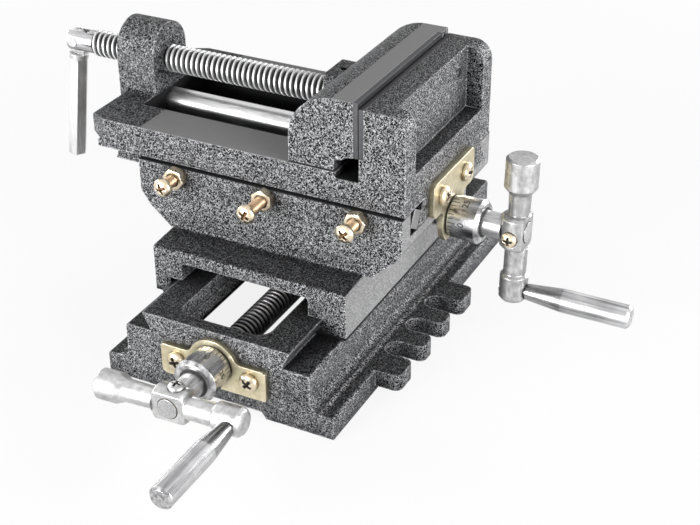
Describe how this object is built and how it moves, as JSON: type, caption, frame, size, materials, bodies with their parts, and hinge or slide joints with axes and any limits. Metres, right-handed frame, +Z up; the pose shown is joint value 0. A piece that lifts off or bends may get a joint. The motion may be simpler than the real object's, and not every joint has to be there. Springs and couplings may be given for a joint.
{
  "type": "cross slide vise",
  "caption": "Drill-press vise on two dovetail slides at right angles, each moved by a lead screw with a dial and crank; jaws closed by a screw with a folding handle.",
  "frame": {"origin": "middle of the base's underside", "axes": "+X along the clamp screw, from its handle towards the fixed jaw; +Y away from the front crank; +Z up"},
  "size_m": [0.3239, 0.309, 0.145],
  "materials": {
    "painted_casting": "hammered",
    "zinc_plated_steel": "satin",
    "turned_steel": "satin",
    "dark_steel": "satin",
    "dial_aluminium": "turned",
    "nut_bronze": "machined"
  },
  "bodies": {
    "base": {"base": "painted_casting", "base_bracket": "zinc_plated_steel", "base_bracket_screws": "zinc_plated_steel"},
    "front_spindle": {"base_lead_screw": "turned_steel", "base_dial": "dial_aluminium", "base_crank": "turned_steel", "base_crank_screw": "turned_steel"},
    "front_grip": {"base_crank_grip": "turned_steel"},
    "saddle": {"saddle": "painted_casting", "saddle_gib": "dark_steel", "saddle_gib_screws": "zinc_plated_steel", "saddle_gib_nuts": "zinc_plated_steel", "vise_gib": "dark_steel", "vise_gib_screws": "zinc_plated_steel", "vise_gib_nuts": "zinc_plated_steel", "base_lead_nut": "nut_bronze", "cross_lead_nut": "nut_bronze"},
    "vise": {"vise_body": "painted_casting", "cross_bracket": "zinc_plated_steel", "cross_bracket_screws": "zinc_plated_steel", "guide_rod": "turned_steel", "fixed_jaw_plate": "dark_steel", "fixed_jaw_plate_screws": "dark_steel"},
    "cross_spindle": {"cross_lead_screw": "turned_steel", "cross_dial": "dial_aluminium", "cross_crank": "turned_steel", "cross_crank_screw": "zinc_plated_steel"},
    "cross_grip": {"cross_crank_grip": "turned_steel"},
    "jaw": {"movable_jaw": "painted_casting", "movable_jaw_plate": "dark_steel", "movable_jaw_plate_screws": "dark_steel", "clamp_screw_keeper": "dark_steel"},
    "clamp_spindle": {"clamp_screw": "turned_steel", "clamp_cross_pin": "turned_steel"},
    "clamp_bar": {"clamp_handle": "turned_steel"}
  },
  "joints": [
    {"name": "saddle_slide", "type": "slide", "parent": "base", "child": "saddle", "axis": [0, 1, 0], "range_m": [-0.032, 0.068]},
    {"name": "front_crank_turn", "type": "hinge", "parent": "base", "child": "front_spindle", "pos_m": [0, -0.1065, 0.025], "axis": [0, 1, 0], "continuous": true},
    {"name": "front_grip_spin", "type": "hinge", "parent": "front_spindle", "child": "front_grip", "pos_m": [0.03198, -0.17, 0.02612], "axis": [0, 1, 0], "continuous": true},
    {"name": "cross_slide", "type": "slide", "parent": "saddle", "child": "vise", "axis": [1, 0, 0], "range_m": [0, 0.066]},
    {"name": "cross_crank_turn", "type": "hinge", "parent": "vise", "child": "cross_spindle", "pos_m": [0.072, -0.003, 0.0705], "axis": [1, 0, 0], "continuous": true},
    {"name": "cross_grip_spin", "type": "hinge", "parent": "cross_spindle", "child": "cross_grip", "pos_m": [0.136, -0.0044, 0.03853], "axis": [1, 0, 0], "continuous": true},
    {"name": "jaw_slide", "type": "slide", "parent": "vise", "child": "jaw", "axis": [1, 0, 0], "range_m": [-0.085, 0]},
    {"name": "clamp_screw_turn", "type": "hinge", "parent": "jaw", "child": "clamp_spindle", "pos_m": [0.02, -0.003, 0.1233], "axis": [1, 0, 0], "continuous": true},
    {"name": "clamp_handle_fold", "type": "hinge", "parent": "clamp_spindle", "child": "clamp_bar", "pos_m": [-0.1413, -0.003, 0.1233], "axis": [0, 1, 0], "range_deg": [-18, 168]}
  ],
  "couplings": [
    {"joint": "front_crank_turn", "follows": "saddle_slide", "rad_per_m": 2094.4},
    {"joint": "cross_crank_turn", "follows": "cross_slide", "rad_per_m": 2094.4},
    {"joint": "clamp_screw_turn", "follows": "jaw_slide", "rad_per_m": 2094.4}
  ]
}
